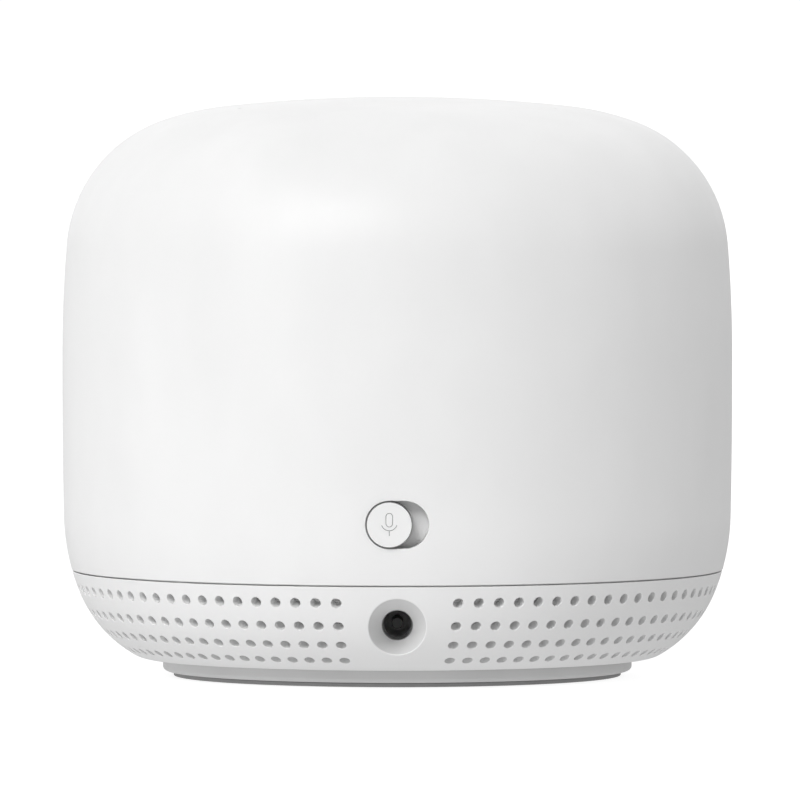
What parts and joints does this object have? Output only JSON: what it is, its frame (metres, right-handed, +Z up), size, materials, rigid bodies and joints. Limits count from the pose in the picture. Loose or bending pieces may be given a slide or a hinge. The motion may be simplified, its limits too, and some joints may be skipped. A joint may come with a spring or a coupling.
{
  "type": "wireless router",
  "caption": "Round-shouldered white tabletop mesh router with a perforated base, a rear microphone slider and a conical power inlet, over a light ring and a flat foot.",
  "frame": {"origin": "centre of the foot pad's underside, on the casing's axis", "axes": "+Z up along the casing's axis; the power inlet and the slider face -Y; the slider moves to muted along +X"},
  "size_m": [0.102, 0.1022, 0.088],
  "materials": {
    "casing_white": "fine matte, moulded in colour",
    "casing_base": "fine matte, moulded in colour",
    "light_guide": "milky, translucent, satin",
    "plate_grey": "satin",
    "foot_rubber": "soft matte silicone",
    "label_film": "blank satin film",
    "button_grey": "satin",
    "switch_steel": "pressed tin-plated steel",
    "grille_fabric": "close-woven acoustic cloth",
    "board_green": "solder-mask green",
    "black_plastic": "satin black",
    "contact_metal": "tin-plated",
    "component_dark": "moulded epoxy and ferrite",
    "cable_black": "soft insulation",
    "deflector_grey": "satin",
    "screw_steel": "zinc-plated",
    "box_grey": "moulded, fine texture",
    "foam_cream": "open-cell foam",
    "gasket_black": "closed-cell foam rubber",
    "basket_metal": "black satin paint",
    "surround_rubber": "moulded rubber",
    "cone_paper": "pressed black paper",
    "coil_copper": "enamelled copper",
    "spider_cloth": "resin-dipped weave",
    "plate_steel": "zinc-plated",
    "ferrite_black": "sintered ferrite",
    "wire_insulation": "red and black insulation",
    "frame_plastic": "moulded, light grey",
    "shield_metal": "pressed nickel silver",
    "pad_blue": "soft thermal pad",
    "sink_aluminium": "die cast",
    "antenna_board": "solder mask with copper traces",
    "flex_amber": "polyimide film",
    "knob_white": "fine matte",
    "carrier_grey": "satin",
    "mute_orange": "printed film",
    "chip_black": "moulded epoxy",
    "bobbin_black": "pressed paper dome"
  },
  "bodies": {
    "casing": {"top_shell": "casing_white", "base_shell": "casing_base", "light_ring": "light_guide", "base_plate": "plate_grey", "foot_pad": "foot_rubber", "rating_label": "label_film", "reset_switch": "switch_steel", "grille_cloth": "grille_fabric", "light_board": "board_green", "dc_jack": "black_plastic", "jack_contacts": "contact_metal", "power_board": "board_green", "power_parts": "component_dark", "power_cable": "cable_black", "acoustic_deflector": "deflector_grey", "deflector_screws": "screw_steel", "base_screws": "screw_steel", "speaker_box": "box_grey", "speaker_lid": "box_grey", "acoustic_foam": "foam_cream", "speaker_gasket": "gasket_black", "speaker_basket": "basket_metal", "speaker_surround": "surround_rubber", "speaker_spider": "spider_cloth", "pole_plate": "plate_steel", "speaker_magnet": "ferrite_black", "speaker_yoke": "plate_steel", "speaker_wires": "wire_insulation", "speaker_screws": "screw_steel", "isolators": "gasket_black", "box_screws": "screw_steel", "inner_frame": "frame_plastic", "frame_screws": "screw_steel", "main_board": "board_green", "board_parts": "component_dark", "chips": "chip_black", "radio_shields": "shield_metal", "thermal_pads": "pad_blue", "heat_sink": "sink_aluminium", "heat_sink_screws": "screw_steel", "antennas": "antenna_board", "antenna_leads": "cable_black", "touch_board": "board_green", "touch_flex": "flex_amber", "mic_boards": "board_green", "mic_gaskets": "gasket_black", "slide_guide": "plate_grey", "mute_switch": "switch_steel", "switch_board": "board_green", "switch_flex": "flex_amber"},
    "mute_slider": {"mute_knob": "knob_white", "mute_carrier": "carrier_grey", "mute_indicator": "mute_orange", "switch_lever": "black_plastic"},
    "reset_plunger": {"reset_button": "button_grey", "reset_stem": "black_plastic"},
    "speaker_motor": {"speaker_cone": "cone_paper", "dust_cap": "bobbin_black", "voice_coil": "coil_copper"}
  },
  "joints": [
    {"name": "mute_slide", "type": "slide", "parent": "casing", "child": "mute_slider", "axis": [1, 0, 0], "range_m": [0, 0.0024]},
    {"name": "reset_press", "type": "slide", "parent": "casing", "child": "reset_plunger", "axis": [0, 0, 1], "range_m": [0, 0.0004], "stiffness_N_per_m": 800, "springref_m": -0.0004},
    {"name": "cone_travel", "type": "slide", "parent": "casing", "child": "speaker_motor", "axis": [0, 0, 1], "range_m": [-0.0015, 0.0015], "stiffness_N_per_m": 900, "deforming": ["speaker_surround", "speaker_spider"]}
  ]
}
